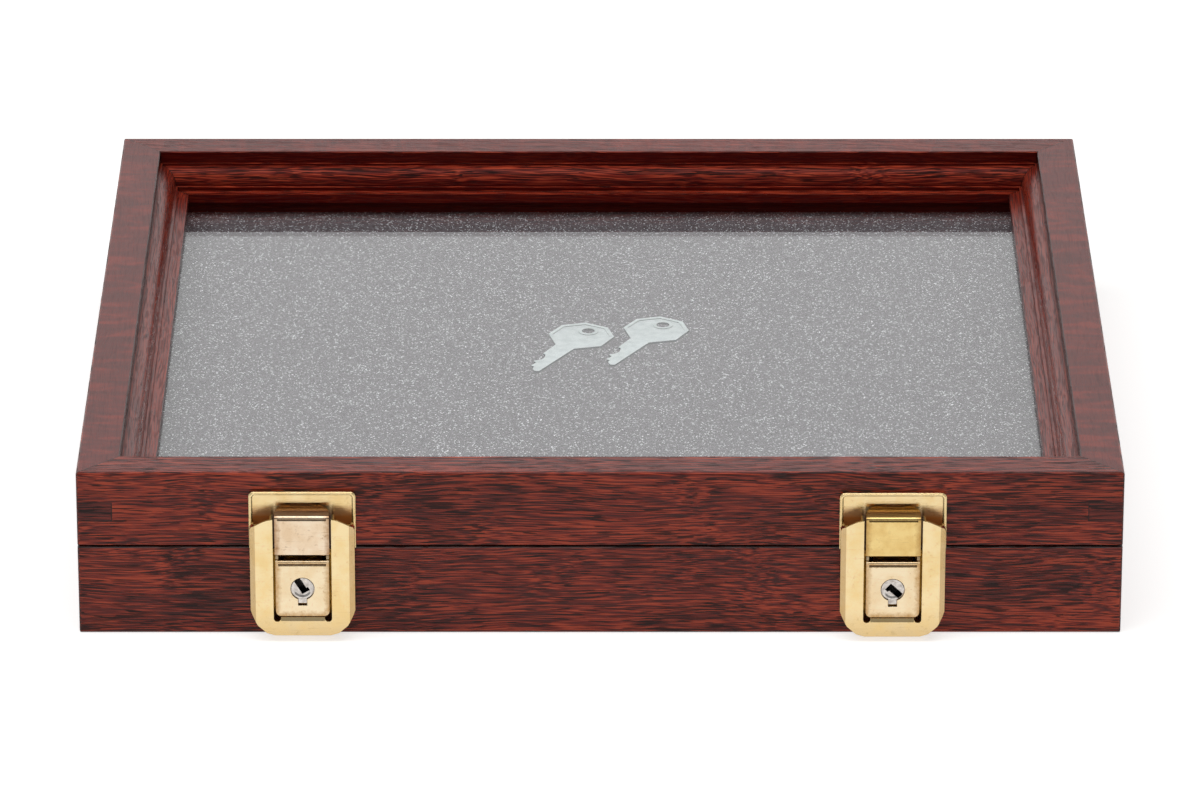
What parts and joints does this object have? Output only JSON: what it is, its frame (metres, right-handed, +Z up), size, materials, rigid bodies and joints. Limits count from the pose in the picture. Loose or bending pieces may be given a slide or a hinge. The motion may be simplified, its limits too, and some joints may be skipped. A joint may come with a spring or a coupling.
{
  "type": "coin display case",
  "caption": "Low hinged display case with a mitred wooden frame, a glass lid over a flat padded bed, draw latches with key locks on its front, and flat keys inside.",
  "frame": {"origin": "middle of the wooden case seen from above, on the surface that it stands on", "axes": "+X along the width from left to right, +Y from the front with the latches to the back with the hinges, +Z up"},
  "size_m": [0.305, 0.2822, 0.0512],
  "materials": {
    "stained_oak": "satin",
    "dark_oak": "satin",
    "pad_velvet": "matte",
    "clear_glass": "polished",
    "brass": "satin",
    "nickel": "satin"
  },
  "bodies": {
    "base": {"base_front_rail": "stained_oak", "base_back_rail": "stained_oak", "base_left_rail": "stained_oak", "base_right_rail": "stained_oak", "bottom_panel": "dark_oak", "foam_pad": "pad_velvet", "key_left": "nickel", "key_right": "nickel", "hinge_leaf_base_left": "brass", "hinge_leaf_base_right": "brass", "hinge_pin_left": "brass", "hinge_pin_right": "brass", "hinge_screws_base": "brass", "latch_plate_left": "brass", "latch_plate_right": "brass", "latch_screws": "brass", "latch_cover_left": "brass", "latch_cover_right": "brass", "lever_rivets": "brass"},
    "lid": {"lid_front_rail": "stained_oak", "lid_back_rail": "stained_oak", "lid_left_rail": "stained_oak", "lid_right_rail": "stained_oak", "lid_corner_keys": "dark_oak", "glass_pane": "clear_glass", "glass_stops": "dark_oak", "hinge_leaf_lid_left": "brass", "hinge_leaf_lid_right": "brass", "hinge_screws_lid": "brass", "strike_plate_left": "brass", "strike_plate_right": "brass", "strike_screws": "brass"},
    "lever_left": {"lock_lever_left": "brass", "hook_pin_left": "brass", "lock_barrel_left": "nickel"},
    "hook_left": {"draw_hook_left": "brass"},
    "plug_left": {"lock_plug_left": "nickel", "lock_tongue_left": "brass"},
    "lever_right": {"lock_lever_right": "brass", "hook_pin_right": "brass", "lock_barrel_right": "nickel"},
    "hook_right": {"draw_hook_right": "brass"},
    "plug_right": {"lock_plug_right": "nickel", "lock_tongue_right": "brass"}
  },
  "joints": [
    {"name": "lid_hinge", "type": "hinge", "parent": "base", "child": "lid", "pos_m": [0, 0.1376, 0.02772], "axis": [-1, 0, 0], "range_deg": [0, 180]},
    {"name": "lever_left_lift", "type": "hinge", "parent": "base", "child": "lever_left", "pos_m": [-0.08675, -0.1397, 0.02772], "axis": [-1, 0, 0], "range_deg": [0, 80]},
    {"name": "hook_left_swing", "type": "hinge", "parent": "lever_left", "child": "hook_left", "pos_m": [-0.08675, -0.1399, 0.02482], "axis": [1, 0, 0], "range_deg": [0, 90]},
    {"name": "plug_left_turn", "type": "hinge", "parent": "lever_left", "child": "plug_left", "pos_m": [-0.08675, -0.1415, 0.01723], "axis": [0, 1, 0], "range_deg": [0, 90]},
    {"name": "lever_right_lift", "type": "hinge", "parent": "base", "child": "lever_right", "pos_m": [0.08525, -0.1397, 0.02732], "axis": [-1, 0, 0], "range_deg": [0, 80]},
    {"name": "hook_right_swing", "type": "hinge", "parent": "lever_right", "child": "hook_right", "pos_m": [0.08525, -0.1399, 0.02442], "axis": [1, 0, 0], "range_deg": [0, 90]},
    {"name": "plug_right_turn", "type": "hinge", "parent": "lever_right", "child": "plug_right", "pos_m": [0.08525, -0.1415, 0.01682], "axis": [0, 1, 0], "range_deg": [0, 90]}
  ],
  "couplings": [
    {"joint": "hook_left_swing", "follows": "lever_left_lift", "ratio": 1.125},
    {"joint": "hook_right_swing", "follows": "lever_right_lift", "ratio": 1.125}
  ]
}
